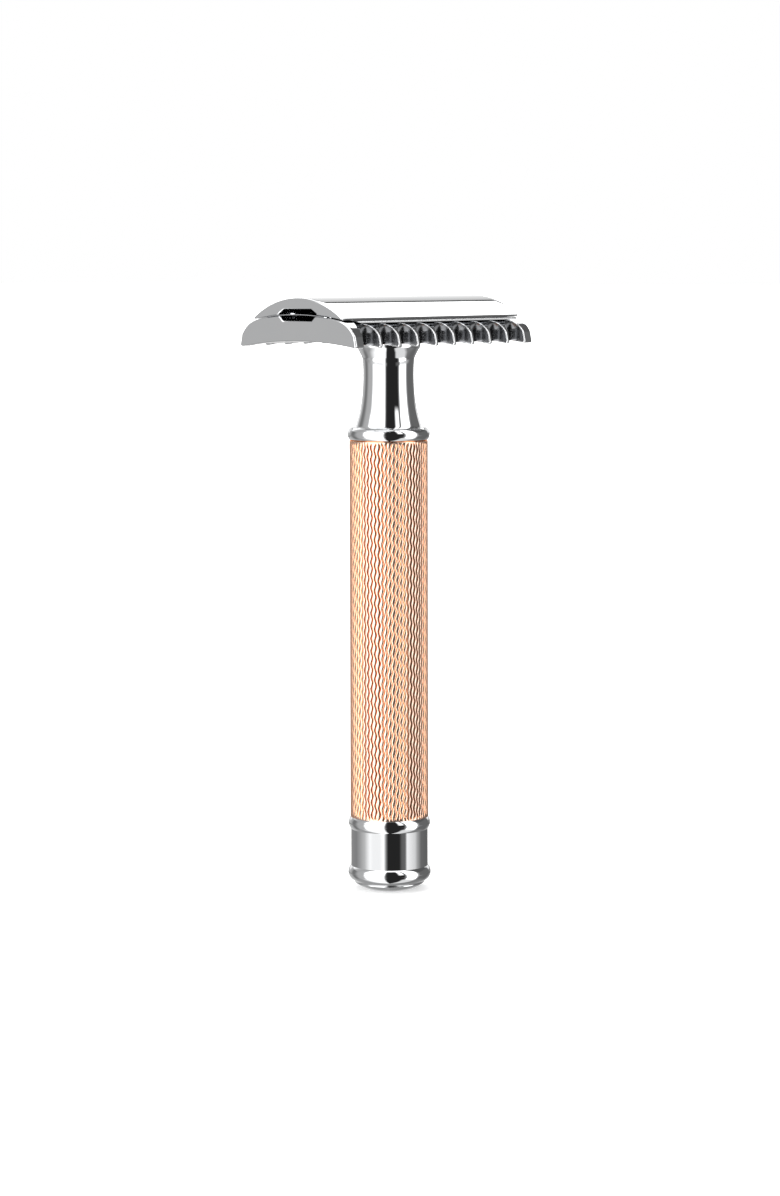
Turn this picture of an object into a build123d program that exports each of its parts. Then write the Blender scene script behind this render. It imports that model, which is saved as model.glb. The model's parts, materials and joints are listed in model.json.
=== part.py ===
from build123d import *
import os
from math import sqrt

# A three-piece double-edge safety razor with an open comb.
# Millimetres, +Z up. The origin is the centre of the flat foot of the handle,
# the handle's axis is Z and the long side of the head runs along X.

# ---- Driving dimensions: heights along the handle axis ----
TOTAL_HEIGHT = 94.0
PLUG_TOP_Z = 1.15
KNOB_TOP_Z = 11.55
SLEEVE_TOP_Z = 71.4
NECK_TOP_Z = 87.0

# ---- Driving dimensions: handle radii ----
FOOT_R = 3.9
PLUG_R = 5.5
BAND_R = 6.1
SLEEVE_R = 6.19
SLEEVE_BORE_R = 5.4
NECK_R = 3.97
LIP_R = 5.05
SPIGOT_GAP = 0.02
SPIGOT_LENGTH = 5.0
SPIGOT_ROUND = 0.3

# ---- Outline points of the turned pieces (radius, height) ----
DOME_MIDDLE = (4.83, 0.5)
DOME_TOP_Z = 1.0
KNOB_FOOT_R = 5.62
KNOB_STEP = [(5.67, 1.3), (6.09, 1.6)]
LOWER_BEAD = (6.56, 2.65)
BAND_BOTTOM_Z = 3.75
BAND_TOP_Z = 9.6
UPPER_BEAD = (6.48, 10.62)
KNOB_TOP_R = 6.15
COLLAR_FOOT_R = 5.97
COLLAR_BEAD = (6.51, 72.5)
COLLAR_TOP = (6.12, 73.35)
FLARE_FOOT = [(5.4, 73.5), (5.24, 73.6)]
NECK_WAIST = [(4.57, 75.86), (4.15, 78.4), (NECK_R, 81.5)]
LIP_ROOT = [(4.15, 84.45), (4.38, 84.95), (4.66, 85.5)]
LIP_BOTTOM_Z = 86.1
LIP_CHAMFER = 0.15

# ---- Tie rod (M4), its nut and the bores that hold them ----
ROD_R = 2.0
ROD_GAP = 0.03
ROD_BOTTOM_Z = 2.7
ROD_TOP_Z = 75.0
ROD_END_ROOM = 0.5
ROD_CHAMFER = 0.4
NUT_FLATS = 7.0
NUT_HEIGHT = 3.2
NUT_TOP_Z = 6.2
KNOB_POCKET_R = 4.3
PLUG_STEM_R = 4.28
PLUG_STEM_Z = 2.3

# ---- Head screw: M5 x 0.8, right-hand ----
SCREW_R = 2.5
SCREW_PITCH = 0.8
THREAD_DEPTH = 0.45
SCREW_BOTTOM_Z = 81.0
SCREW_TOP_Z = 93.2
THREAD_TOP_Z = 87.4
THREAD_START_Z = 81.72
THREAD_TURNS = 6.5
THREAD_ROOT_HALF = 0.34
THREAD_CREST_HALF = 0.06
THREAD_OVERLAP = 0.05
SCREW_CHAMFER = 0.3
BUSH_R = 3.0
BUSH_BOTTOM_Z = 77.0
BUSH_BORE_R = 2.56
BUSH_CHAMFER = 0.25

# ---- Head ----
PLATE_LENGTH = 42.4
PLATE_TOP_Z = 91.5
CLAMP_R = 50.0
CAP_LENGTH = 42.2
CAP_HALF_WIDTH = 9.1
CAP_EDGE_Z = 90.97
BLADE_LENGTH = 42.8
BLADE_BODY_LENGTH = 37.3
BLADE_HALF_WIDTH = 10.85
BLADE_TAB_WIDTH = 13.0
BLADE_TAB_ROUND = 0.8
BLADE_THICKNESS = 0.1
BLADE_GAP = 0.025
BLADE_SLOT_LENGTH = 33.0
BLADE_SLOT_WIDTH = 2.6
BLADE_HOLE_R = 3.2
BLADE_PIN_HOLE_R = 2.1
SHOULDER_Y = 8.3
CREASE_Y = 11.65
CREASE_Z = 88.3
TIP_HALF_WIDTH = 12.05
TIP_Z = 86.4
ARCH_Z = 87.4
SEAT_R = 5.3

# ---- Comb: nine round-topped gaps a side ----
GAP_COUNT = 9
GAP_PITCH = 4.35
GAP_R = 1.85
GAP_ROOT_Y = 10.6
GAP_SPRING_Z = 88.3

# ---- Locating pins of the cap ----
PIN_X = 13.0
PIN_R = 1.5
PIN_BOTTOM_Z = 88.6
PIN_ROOT = 0.3
PIN_HOLE_R = 1.8
STUD_HOLE_R = 2.8

# ---- Rounding of the comb plate's end faces ----
EDGE_R = 0.25

# ---- Cutters reach past the faces they break through by this much ----
OVERSHOOT = 1.0

# ---- Channels under and over the blade: right half of each outline (y, z) ----
CHANNEL_ROOF_Z = 92.27
CHANNEL_BELOW = [(2.95, 90.5), (3.7, 91.4), (3.7, 92)]
CHANNEL_ABOVE = [(2.8, CHANNEL_ROOF_Z), (3.85, 91.6), (3.85, 91)]

clamp_centre_z = PLATE_TOP_Z - CLAMP_R
spigot_r = SLEEVE_BORE_R - SPIGOT_GAP
rod_bore_r = ROD_R + ROD_GAP
blade_low_r = CLAMP_R + BLADE_GAP
blade_high_r = blade_low_r + BLADE_THICKNESS
cap_r = blade_high_r + BLADE_GAP


def arc_height(radius, y):
    """Height of a surface concentric with the clamped blade at a distance y from the middle."""
    return clamp_centre_z + sqrt(radius * radius - y * y)


def both_halves(right_half):
    """A whole outline from its right half, mirrored in the middle of the head."""
    left_half = [(-y, z) for y, z in reversed(right_half)]
    return left_half + right_half


# ---- Foot: domed plug that closes the knob ----
with BuildPart() as end_plug:
    with BuildSketch(Plane.XZ):
        with BuildLine():
            Line((0, 0), (FOOT_R, 0))
            ThreePointArc((FOOT_R, 0), DOME_MIDDLE, (PLUG_R, DOME_TOP_Z))
            Polyline(
                (PLUG_R, DOME_TOP_Z),
                (PLUG_R, PLUG_TOP_Z),
                (PLUG_STEM_R, PLUG_TOP_Z),
                (PLUG_STEM_R, PLUG_STEM_Z),
                (0, PLUG_STEM_Z),
                (0, 0),
            )
        make_face()
    revolve(axis=Axis.Z)

# ---- Knob: smooth band between two beads, with a spigot into the sleeve ----
with BuildPart() as end_knob:
    with BuildSketch(Plane.XZ):
        with BuildLine():
            Polyline((0, PLUG_TOP_Z), (KNOB_FOOT_R, PLUG_TOP_Z), *KNOB_STEP)
            ThreePointArc(KNOB_STEP[-1], LOWER_BEAD, (BAND_R, BAND_BOTTOM_Z))
            Line((BAND_R, BAND_BOTTOM_Z), (BAND_R, BAND_TOP_Z))
            ThreePointArc((BAND_R, BAND_TOP_Z), UPPER_BEAD, (KNOB_TOP_R, KNOB_TOP_Z))
            Polyline(
                (KNOB_TOP_R, KNOB_TOP_Z),
                (spigot_r, KNOB_TOP_Z),
                (spigot_r, KNOB_TOP_Z + SPIGOT_LENGTH),
                (0, KNOB_TOP_Z + SPIGOT_LENGTH),
                (0, PLUG_TOP_Z),
            )
        make_face()
    revolve(axis=Axis.Z)
    with Locations((0, 0, PLUG_TOP_Z)):
        Cylinder(
            KNOB_POCKET_R,
            NUT_TOP_Z - PLUG_TOP_Z,
            align=(Align.CENTER, Align.CENTER, Align.MIN),
            mode=Mode.SUBTRACT,
        )
    Hole(rod_bore_r)
    fillet(end_knob.edges().filter_by(GeomType.CIRCLE).group_by(Axis.Z)[-1], SPIGOT_ROUND)

# ---- Sleeve: tube that carries the engine-turned grip ----
with BuildPart() as grip_sleeve:
    with BuildSketch(Plane.XY.offset(KNOB_TOP_Z)):
        Circle(SLEEVE_R)
        Circle(SLEEVE_BORE_R, mode=Mode.SUBTRACT)
    extrude(amount=SLEEVE_TOP_Z - KNOB_TOP_Z)

# ---- Neck: collar bead, waisted neck and the lip that the head sits on ----
with BuildPart() as neck_ferrule:
    with BuildSketch(Plane.XZ):
        with BuildLine():
            Polyline(
                (0, NECK_TOP_Z),
                (0, SLEEVE_TOP_Z - SPIGOT_LENGTH),
                (spigot_r, SLEEVE_TOP_Z - SPIGOT_LENGTH),
                (spigot_r, SLEEVE_TOP_Z),
                (COLLAR_FOOT_R, SLEEVE_TOP_Z),
            )
            ThreePointArc((COLLAR_FOOT_R, SLEEVE_TOP_Z), COLLAR_BEAD, COLLAR_TOP)
            Polyline(COLLAR_TOP, *FLARE_FOOT)
            Spline(FLARE_FOOT[-1], *NECK_WAIST, LIP_ROOT[0])
            ThreePointArc(*LIP_ROOT)
            Polyline(
                LIP_ROOT[-1],
                (LIP_R, LIP_BOTTOM_Z),
                (LIP_R, NECK_TOP_Z - LIP_CHAMFER),
                (LIP_R - LIP_CHAMFER, NECK_TOP_Z),
                (0, NECK_TOP_Z),
            )
        make_face()
    revolve(axis=Axis.Z)
    with Locations((0, 0, NECK_TOP_Z)):
        Hole(BUSH_R, depth=NECK_TOP_Z - BUSH_BOTTOM_Z)
    with Locations((0, 0, SLEEVE_TOP_Z - SPIGOT_LENGTH)):
        Cylinder(
            rod_bore_r,
            ROD_TOP_Z + ROD_END_ROOM - SLEEVE_TOP_Z + SPIGOT_LENGTH,
            align=(Align.CENTER, Align.CENTER, Align.MIN),
            mode=Mode.SUBTRACT,
        )

# ---- Bush: threaded lining of the neck that takes the head screw ----
with BuildPart() as thread_bush:
    with BuildSketch(Plane.XY.offset(BUSH_BOTTOM_Z)):
        Circle(BUSH_R)
        Circle(BUSH_BORE_R, mode=Mode.SUBTRACT)
    extrude(amount=NECK_TOP_Z - BUSH_BOTTOM_Z)
    chamfer(thread_bush.faces().sort_by(Axis.Z)[-1].inner_wires()[0].edges(), BUSH_CHAMFER)

# ---- Tie rod and nut: they pull the knob, the sleeve and the neck together ----
with BuildPart() as tie_rod:
    with BuildSketch(Plane.XY.offset(ROD_BOTTOM_Z)):
        Circle(ROD_R)
    extrude(amount=ROD_TOP_Z - ROD_BOTTOM_Z)
    chamfer(tie_rod.edges().filter_by(GeomType.CIRCLE), ROD_CHAMFER)

with BuildPart() as rod_nut:
    with BuildSketch(Plane.XY.offset(NUT_TOP_Z - NUT_HEIGHT)):
        RegularPolygon(NUT_FLATS / 2, 6, major_radius=False)
        Circle(rod_bore_r, mode=Mode.SUBTRACT)
    extrude(amount=NUT_HEIGHT)

# ---- Comb plate ----
gap_xs = [(i - (GAP_COUNT - 1) / 2) * GAP_PITCH for i in range(GAP_COUNT)]

with BuildPart() as comb_plate:
    with BuildSketch(Plane.YZ):
        with BuildLine():
            shoulder = Vector(SHOULDER_Y, arc_height(CLAMP_R, SHOULDER_Y))
            crease = Vector(CREASE_Y, CREASE_Z)
            tip = Vector(TIP_HALF_WIDTH, TIP_Z)
            clamp_face = RadiusArc((0, PLATE_TOP_Z), shoulder, CLAMP_R)
            TangentArc(shoulder, crease, tangent=clamp_face % 1)
            Line(crease, tip)
            mirror(about=Plane.YZ)
            ThreePointArc(tip, (0, ARCH_Z), (-TIP_HALF_WIDTH, TIP_Z))
        make_face()
    extrude(amount=PLATE_LENGTH / 2, both=True)
    # Channel under the blade; it shows at both ends as the lower half of the slot.
    with BuildSketch(Plane.YZ):
        Polygon(*both_halves(CHANNEL_BELOW), align=None)
    extrude(amount=PLATE_LENGTH / 2, both=True, mode=Mode.SUBTRACT)
    end_faces = comb_plate.faces().filter_by(Axis.X)
    fillet(end_faces.edges(), EDGE_R)
    # Round seat for the lip of the neck.
    with BuildSketch(Plane.XY.offset(NECK_TOP_Z)):
        Circle(SEAT_R)
    extrude(amount=ARCH_Z + OVERSHOOT - NECK_TOP_Z)
    # Each gap is a vertical slot whose top is round both ways.
    gap_reach = TIP_HALF_WIDTH + OVERSHOOT - GAP_ROOT_Y
    for side in (-1, 1):
        for gap_x in gap_xs:
            with BuildSketch(Plane.XY.offset(TIP_Z - OVERSHOOT)):
                with Locations((gap_x, side * GAP_ROOT_Y)):
                    Circle(GAP_R)
                with Locations((gap_x, side * (GAP_ROOT_Y + gap_reach / 2))):
                    Rectangle(2 * GAP_R, gap_reach)
            extrude(amount=GAP_SPRING_Z - TIP_Z + OVERSHOOT, mode=Mode.SUBTRACT)
            with Locations((gap_x, side * GAP_ROOT_Y, GAP_SPRING_Z)):
                Sphere(GAP_R, mode=Mode.SUBTRACT)
            with BuildSketch(Plane.XZ.offset(-side * GAP_ROOT_Y)):
                with Locations((gap_x, GAP_SPRING_Z)):
                    Circle(GAP_R)
            extrude(amount=-side * gap_reach, mode=Mode.SUBTRACT)
    # Holes for the head screw and the two locating pins.
    with Locations((0, 0, PLATE_TOP_Z)):
        Hole(STUD_HOLE_R)
    with Locations((-PIN_X, 0, PLATE_TOP_Z), (PIN_X, 0, PLATE_TOP_Z)):
        Hole(PIN_HOLE_R)

# ---- Blade: a thin sheet held to a gentle bend between the cap and the plate ----
with BuildPart() as blade:
    with BuildSketch(Plane.YZ):
        with BuildLine():
            blade_low = (BLADE_HALF_WIDTH, arc_height(blade_low_r, BLADE_HALF_WIDTH))
            blade_high = (BLADE_HALF_WIDTH, arc_height(blade_high_r, BLADE_HALF_WIDTH))
            RadiusArc((-blade_low[0], blade_low[1]), blade_low, blade_low_r)
            RadiusArc((-blade_high[0], blade_high[1]), blade_high, blade_high_r)
            Line(blade_low, blade_high)
            Line((-blade_low[0], blade_low[1]), (-blade_high[0], blade_high[1]))
        make_face()
    extrude(amount=BLADE_LENGTH / 2, both=True)
    with BuildSketch(Plane.XY.offset(TIP_Z)):
        Rectangle(BLADE_BODY_LENGTH, 2 * BLADE_HALF_WIDTH)
        RectangleRounded(BLADE_LENGTH, BLADE_TAB_WIDTH, BLADE_TAB_ROUND)
        SlotOverall(BLADE_SLOT_LENGTH, BLADE_SLOT_WIDTH, mode=Mode.SUBTRACT)
        Circle(BLADE_HOLE_R, mode=Mode.SUBTRACT)
        with Locations((-PIN_X, 0), (PIN_X, 0)):
            Circle(BLADE_PIN_HOLE_R, mode=Mode.SUBTRACT)
    extrude(amount=TOTAL_HEIGHT - TIP_Z, mode=Mode.INTERSECT)

# ---- Cap: domed bar with two locating pins cast in ----
with BuildPart() as top_cap:
    with BuildSketch(Plane.YZ):
        with BuildLine():
            cap_low = (CAP_HALF_WIDTH, arc_height(cap_r, CAP_HALF_WIDTH))
            cap_edge = (CAP_HALF_WIDTH, CAP_EDGE_Z)
            ThreePointArc((-CAP_HALF_WIDTH, CAP_EDGE_Z), (0, TOTAL_HEIGHT), cap_edge)
            Line(cap_edge, cap_low)
            Line((-CAP_HALF_WIDTH, CAP_EDGE_Z), (-cap_low[0], cap_low[1]))
            RadiusArc((-cap_low[0], cap_low[1]), cap_low, cap_r)
        make_face()
    extrude(amount=CAP_LENGTH / 2, both=True)
    # Channel over the blade; it shows at both ends as the upper half of the slot.
    with BuildSketch(Plane.YZ):
        Polygon(*both_halves(CHANNEL_ABOVE), align=None)
    extrude(amount=CAP_LENGTH / 2, both=True, mode=Mode.SUBTRACT)
    with BuildSketch(Plane.XY.offset(PIN_BOTTOM_Z)):
        with Locations((-PIN_X, 0), (PIN_X, 0)):
            Circle(PIN_R)
    extrude(amount=CHANNEL_ROOF_Z + PIN_ROOT - PIN_BOTTOM_Z)
    with BuildSketch(Plane.XY.offset(PLATE_TOP_Z)):
        Circle(SCREW_R)
    extrude(amount=SCREW_TOP_Z - PLATE_TOP_Z, mode=Mode.SUBTRACT)

# ---- Head screw: stud cast into the cap, with a right-hand thread on its lower part ----
core_r = SCREW_R - THREAD_DEPTH

with BuildPart() as cap_stud:
    with BuildSketch(Plane.XY.offset(SCREW_BOTTOM_Z)):
        Circle(core_r)
    extrude(amount=THREAD_TOP_Z - SCREW_BOTTOM_Z)
    with BuildSketch(Plane.XY.offset(THREAD_TOP_Z)):
        Circle(SCREW_R)
    extrude(amount=SCREW_TOP_Z - THREAD_TOP_Z)
    chamfer(cap_stud.edges().group_by(Axis.Z)[0], SCREW_CHAMFER)
    with BuildLine():
        helix = Helix(
            pitch=SCREW_PITCH,
            height=THREAD_TURNS * SCREW_PITCH,
            radius=core_r,
            center=(0, 0, THREAD_START_Z),
        )
    with BuildSketch(Plane(origin=helix @ 0, x_dir=(1, 0, 0), z_dir=(0, -1, 0))):
        Polygon(
            (-THREAD_OVERLAP, -THREAD_ROOT_HALF),
            (THREAD_DEPTH, -THREAD_CREST_HALF),
            (THREAD_DEPTH, THREAD_CREST_HALF),
            (-THREAD_OVERLAP, THREAD_ROOT_HALF),
            align=None,
        )
    sweep(path=helix, is_frenet=True)

pieces = {
    "end_plug": end_plug,
    "end_knob": end_knob,
    "grip_sleeve": grip_sleeve,
    "neck_ferrule": neck_ferrule,
    "thread_bush": thread_bush,
    "tie_rod": tie_rod,
    "rod_nut": rod_nut,
    "comb_plate": comb_plate,
    "blade": blade,
    "top_cap": top_cap,
    "cap_stud": cap_stud,
}
os.makedirs("parts", exist_ok=True)
for name, piece in pieces.items():
    piece.part.label = name
    export_step(piece.part, f"parts/{name}.step")
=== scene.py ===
import json
import math

import bmesh
import bpy
import numpy as np
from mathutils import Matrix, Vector


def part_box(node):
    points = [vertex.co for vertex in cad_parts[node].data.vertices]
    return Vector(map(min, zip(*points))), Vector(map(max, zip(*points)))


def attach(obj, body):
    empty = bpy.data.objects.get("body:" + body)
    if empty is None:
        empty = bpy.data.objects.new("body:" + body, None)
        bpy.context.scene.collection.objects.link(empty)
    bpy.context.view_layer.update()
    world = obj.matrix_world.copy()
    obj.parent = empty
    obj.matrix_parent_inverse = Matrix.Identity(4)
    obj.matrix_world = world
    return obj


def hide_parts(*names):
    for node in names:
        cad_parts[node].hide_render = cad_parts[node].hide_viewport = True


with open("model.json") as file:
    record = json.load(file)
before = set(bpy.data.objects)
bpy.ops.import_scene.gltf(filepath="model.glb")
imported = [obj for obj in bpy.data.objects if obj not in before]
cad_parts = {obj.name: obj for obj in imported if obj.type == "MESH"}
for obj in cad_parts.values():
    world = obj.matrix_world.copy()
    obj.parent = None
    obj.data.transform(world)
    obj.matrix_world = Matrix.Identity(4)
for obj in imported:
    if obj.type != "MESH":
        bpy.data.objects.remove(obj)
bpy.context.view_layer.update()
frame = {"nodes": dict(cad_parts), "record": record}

MM = 0.001
MERGE_DISTANCE = 1e-7
DEGENERATE_EDGE = 1e-8


def box_mm(node):
    """Lowest and highest corner of a CAD node, in millimetres."""
    low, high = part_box(node)
    return low / MM, high / MM


# ---------------------------------------------------------------- sizes, in millimetres
FOOT = box_mm("end_plug")
KNOB = box_mm("end_knob")
SLEEVE = box_mm("grip_sleeve")
NECK = box_mm("neck_ferrule")
BUSH = box_mm("thread_bush")
PLATE = box_mm("comb_plate")
CAP = box_mm("top_cap")
BLADE = box_mm("blade")
STUD = box_mm("cap_stud")

SLEEVE_R = SLEEVE[1].x
SLEEVE_BOTTOM = SLEEVE[0].z
SLEEVE_TOP = SLEEVE[1].z
PLATE_TOP = PLATE[1].z
# Sizes that a box can't give.
CLAMP_R = 50.0
CLAMP_CENTRE = PLATE_TOP - CLAMP_R
SPIGOT_R = 5.38
SPIGOT_CHAMFER = 0.3
ROD_BORE_R = 2.03
# The rose gold goes from a darker, redder groove colour, which is painted shade and painted glow of light
# bounced in the grooves, to its land colour between these radii.
LAND_FOOT_R = 6.10
LAND_R = 6.18
PIN_X = 13.0
# The darker, rougher chrome that paints shade under the blade stops short of the ends.
SHADE_HALF_LENGTH = 20.9
END_STEPS = 5
# Heights clear of the blade on both sides, for the solids that cut it.
BLADE_BELOW, BLADE_ABOVE = 85, 93


# ---------------------------------------------------------------- mesh helpers
def arc(start, middle, end, steps):
    """Points of the circle arc through three points of a plane, both ends included."""
    (ax, ay), (bx, by), (cx, cy) = start, middle, end
    d = 2 * (ax * (by - cy) + bx * (cy - ay) + cx * (ay - by))
    ux = ((ax**2 + ay**2) * (by - cy) + (bx**2 + by**2) * (cy - ay) + (cx**2 + cy**2) * (ay - by)) / d
    uy = ((ax**2 + ay**2) * (cx - bx) + (bx**2 + by**2) * (ax - cx) + (cx**2 + cy**2) * (bx - ax)) / d
    radius = math.hypot(ax - ux, ay - uy)
    first = math.atan2(ay - uy, ax - ux)
    through = (math.atan2(by - uy, bx - ux) - first) % math.tau
    last = (math.atan2(cy - uy, cx - ux) - first) % math.tau
    if through > last:
        last -= math.tau
    angles = [first + last * i / steps for i in range(steps + 1)]
    return [(ux + radius * math.cos(a), uy + radius * math.sin(a)) for a in angles]


def rounded(points, radii, steps=4):
    """A path whose inner corners are rounded; radii gives one radius a corner, 0 for a sharp one."""
    path = [points[0]]
    for before, corner, after, radius in zip(points, points[1:], points[2:], radii):
        if radius == 0:
            path.append(corner)
            continue
        b, c, a = Vector(before), Vector(corner), Vector(after)
        back, on = (b - c).normalized(), (a - c).normalized()
        half = back.angle(on) / 2
        reach = radius / math.tan(half)
        centre = c + (back + on).normalized() * radius / math.sin(half)
        first, last = c + back * reach, c + on * reach
        middle = centre + (c - centre).normalized() * radius
        path += arc(tuple(first), tuple(middle), tuple(last), steps)
    path.append(points[-1])
    return path


def closed_mesh(name, vertices, faces, clean):
    """A mesh from millimetre points, with equal points merged and its faces turned outwards."""
    mesh = bpy.data.meshes.new(name)
    mesh.from_pydata([tuple(np.array(v) * MM) for v in vertices], [], faces)
    bm = bmesh.new()
    bm.from_mesh(mesh)
    bmesh.ops.remove_doubles(bm, verts=bm.verts, dist=MERGE_DISTANCE)
    if clean:
        bmesh.ops.dissolve_degenerate(bm, edges=bm.edges, dist=DEGENERATE_EDGE)
    bmesh.ops.recalc_face_normals(bm, faces=bm.faces)
    bm.to_mesh(mesh)
    bm.free()
    return mesh


def make_piece(name, vertices, faces, material, body, nodes, slot, sharp=35.0, weighted=False):
    """A closed piece that rides a body, smooth but for edges sharper than the angle given."""
    mesh = closed_mesh(name, vertices, faces, True)
    mesh.materials.append(material)
    piece = bpy.data.objects.new(name, mesh)
    bpy.context.scene.collection.objects.link(piece)
    smooth(piece, sharp, weighted)
    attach(piece, body)
    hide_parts(*nodes)
    return piece


def smooth(piece, sharp=35.0, weighted=False):
    """Smooth shading, with edges kept sharp past an angle in degrees."""
    piece.data.shade_smooth()
    piece.data.set_sharp_from_angle(angle=math.radians(sharp))
    if weighted and "weighted" not in piece.modifiers:
        modifier = piece.modifiers.new("weighted", "WEIGHTED_NORMAL")
        modifier.keep_sharp = True


def lathe(profile, closed, segments=180):
    """Vertices and faces of a profile of (radius, height) turned about Z."""
    vertices, faces = [], []
    for i in range(segments):
        a = math.tau * i / segments
        vertices += [(r * math.cos(a), r * math.sin(a), z) for r, z in profile]
    count = len(profile)
    for i in range(segments):
        j = (i + 1) % segments
        for k in range(count if closed else count - 1):
            m = (k + 1) % count
            faces.append((i * count + k, j * count + k, j * count + m, i * count + m))
    return vertices, faces


def grid_faces(rows, columns, start=0, wrap=False):
    """Quads between the points of a grid whose first vertex is start; wrap closes each row."""
    faces = []
    for i in range(rows - 1):
        for k in range(columns if wrap else columns - 1):
            m = (k + 1) % columns
            a, b = start + i * columns, start + (i + 1) * columns
            faces.append((a + k, a + m, b + m, b + k))
    return faces


def cut(piece, other, operation="DIFFERENCE"):
    """Applies a boolean of a helper mesh to a piece and removes the helper."""
    modifier = piece.modifiers.new("cut", "BOOLEAN")
    modifier.operation = operation
    modifier.solver = "EXACT"
    modifier.object = other
    bpy.context.view_layer.update()
    graph = bpy.context.evaluated_depsgraph_get()
    result = bpy.data.meshes.new_from_object(piece.evaluated_get(graph))
    piece.modifiers.remove(modifier)
    old = piece.data
    piece.data = result
    bpy.data.meshes.remove(old)
    bpy.data.objects.remove(other)


def helper_solid(vertices, faces):
    """A closed solid for use in a boolean."""
    helper = bpy.data.objects.new("helper", closed_mesh("helper", vertices, faces, False))
    bpy.context.scene.collection.objects.link(helper)
    return helper


def helper_turned(x, profile, segments):
    """A turned solid whose axis stands at (x, 0)."""
    vertices, faces = lathe(profile, False, segments)
    return helper_solid([(vx + x, vy, vz) for vx, vy, vz in vertices], faces)


def helper_cylinder(x, radius, low, high, segments=64):
    """An upright cylinder whose axis stands at (x, 0)."""
    return helper_turned(x, [(0, low), (radius, low), (radius, high), (0, high)], segments)


def prism(outline, low, high):
    """An upright prism over a closed (x, y) outline."""
    count = len(outline)
    vertices = [(x, y, low) for x, y in outline] + [(x, y, high) for x, y in outline]
    faces = [tuple(range(count)), tuple(range(count, 2 * count))]
    faces += [(k, (k + 1) % count, count + (k + 1) % count, count + k) for k in range(count)]
    return helper_solid(vertices, faces)


# ---------------------------------------------------------------- materials
class Nodes:
    """Short calls for adding nodes to one material."""

    def __init__(self, name, base, metallic, roughness):
        self.material = bpy.data.materials.new(name)
        self.material.use_nodes = True
        self.tree = self.material.node_tree
        self.shader = self.tree.nodes["Principled BSDF"]
        self.shader.inputs["Base Color"].default_value = (*base, 1)
        self.shader.inputs["Metallic"].default_value = metallic
        self.shader.inputs["Roughness"].default_value = roughness
        self.place = self.add("ShaderNodeTexCoord").outputs["Object"]

    def add(self, kind, **settings):
        """A new node with its own settings made."""
        node = self.tree.nodes.new(kind)
        for key, value in settings.items():
            setattr(node, key, value)
        return node

    def colour(self, output):
        self.link(output, self.shader.inputs["Base Color"])

    def roughness(self, output):
        self.link(output, self.shader.inputs["Roughness"])

    def link(self, output, target):
        self.tree.links.new(output, target)

    def stretched(self, scale):
        """The object's coordinates scaled by axis."""
        mapping = self.add("ShaderNodeMapping")
        mapping.inputs["Scale"].default_value = scale
        self.link(self.place, mapping.inputs["Vector"])
        return mapping.outputs["Vector"]

    def noise(self, scale, detail=2.0, vector=None):
        node = self.add("ShaderNodeTexNoise")
        node.inputs["Scale"].default_value = scale
        node.inputs["Detail"].default_value = detail
        self.link(vector or self.place, node.inputs["Vector"])
        return node.outputs["Fac"]

    def ranged(self, value, low, high, start=0.3, end=0.7):
        """A value from start to end turned into one from low to high."""
        node = self.add("ShaderNodeMapRange")
        node.inputs["From Min"].default_value = start
        node.inputs["From Max"].default_value = end
        node.inputs["To Min"].default_value = low
        node.inputs["To Max"].default_value = high
        self.link(value, node.inputs["Value"])
        return node.outputs["Result"]

    def mixed(self, value, first, second):
        """First colour where the value is 0, second where it is 1."""
        node = self.add("ShaderNodeMix", data_type="RGBA")
        node.inputs["A"].default_value = (*first, 1)
        node.inputs["B"].default_value = (*second, 1)
        self.link(value, node.inputs["Factor"])
        return node.outputs["Result"]

    def bump(self, value, strength, distance):
        node = self.add("ShaderNodeBump")
        node.inputs["Strength"].default_value = strength
        node.inputs["Distance"].default_value = distance
        self.link(value, node.inputs["Height"])
        self.link(node.outputs["Normal"], self.shader.inputs["Normal"])


def polished_chrome():
    """Mirror chrome with faint polishing haze."""
    m = Nodes("polished_chrome", (0.88, 0.89, 0.90), 1.0, 0.03)
    haze = m.noise(900, 3, m.stretched((1, 1, 0.25)))
    m.roughness(m.ranged(haze, 0.02, 0.05))
    m.colour(m.mixed(m.noise(120, 2), (0.86, 0.87, 0.885), (0.90, 0.905, 0.91)))
    return m.material


def recess_shade_chrome():
    """Chrome darkened to grey as painted shade for the comb's gaps and the channels under the blade, and
    rougher than the polished chrome.
    """
    m = Nodes("recess_shade_chrome", (0.26, 0.265, 0.275), 1.0, 0.22)
    grain = m.noise(1400, 3)
    # The dark greys are painted shade for the recesses, varied at random by the grain.
    m.colour(m.mixed(grain, (0.20, 0.205, 0.215), (0.33, 0.335, 0.345)))
    m.roughness(m.ranged(grain, 0.16, 0.28))
    m.bump(grain, 0.08, 0.00002)
    return m.material


def rose_gold():
    """Satin rose-gold plate: pale on the lands; down in the cut grooves the colour turns deeper and redder
    as painted shade and painted glow of light bounced between the walls.
    """
    m = Nodes("rose_gold", (0.95, 0.62, 0.46), 0.9, 0.15)
    m.shader.inputs["Specular Tint"].default_value = (1.0, 0.6, 0.4, 1)
    flat = m.add("ShaderNodeVectorMath", operation="MULTIPLY")
    flat.inputs[1].default_value = (1, 1, 0)
    radius = m.add("ShaderNodeVectorMath", operation="LENGTH")
    m.link(m.place, flat.inputs[0])
    m.link(flat.outputs["Vector"], radius.inputs[0])
    height = m.ranged(radius.outputs["Value"], 0.0, 1.0, LAND_FOOT_R * MM, LAND_R * MM)
    # The deep red groove colour is painted shade and painted bounced glow in the grooves.
    m.colour(m.mixed(height, (0.80, 0.27, 0.08), (0.97, 0.68, 0.53)))
    m.roughness(m.ranged(m.noise(2500, 2), 0.11, 0.16))
    return m.material


def turned_metal(name, light, dark, roughness):
    """Lathe-turned or rolled metal with fine lines round its axis."""
    m = Nodes(name, light, 1.0, roughness)
    lines = m.noise(600, 4, m.stretched((0.02, 0.02, 4)))
    m.colour(m.mixed(lines, dark, light))
    m.roughness(m.ranged(lines, roughness * 0.8, roughness * 1.3))
    m.bump(lines, 0.15, 0.00002)
    return m.material


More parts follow.
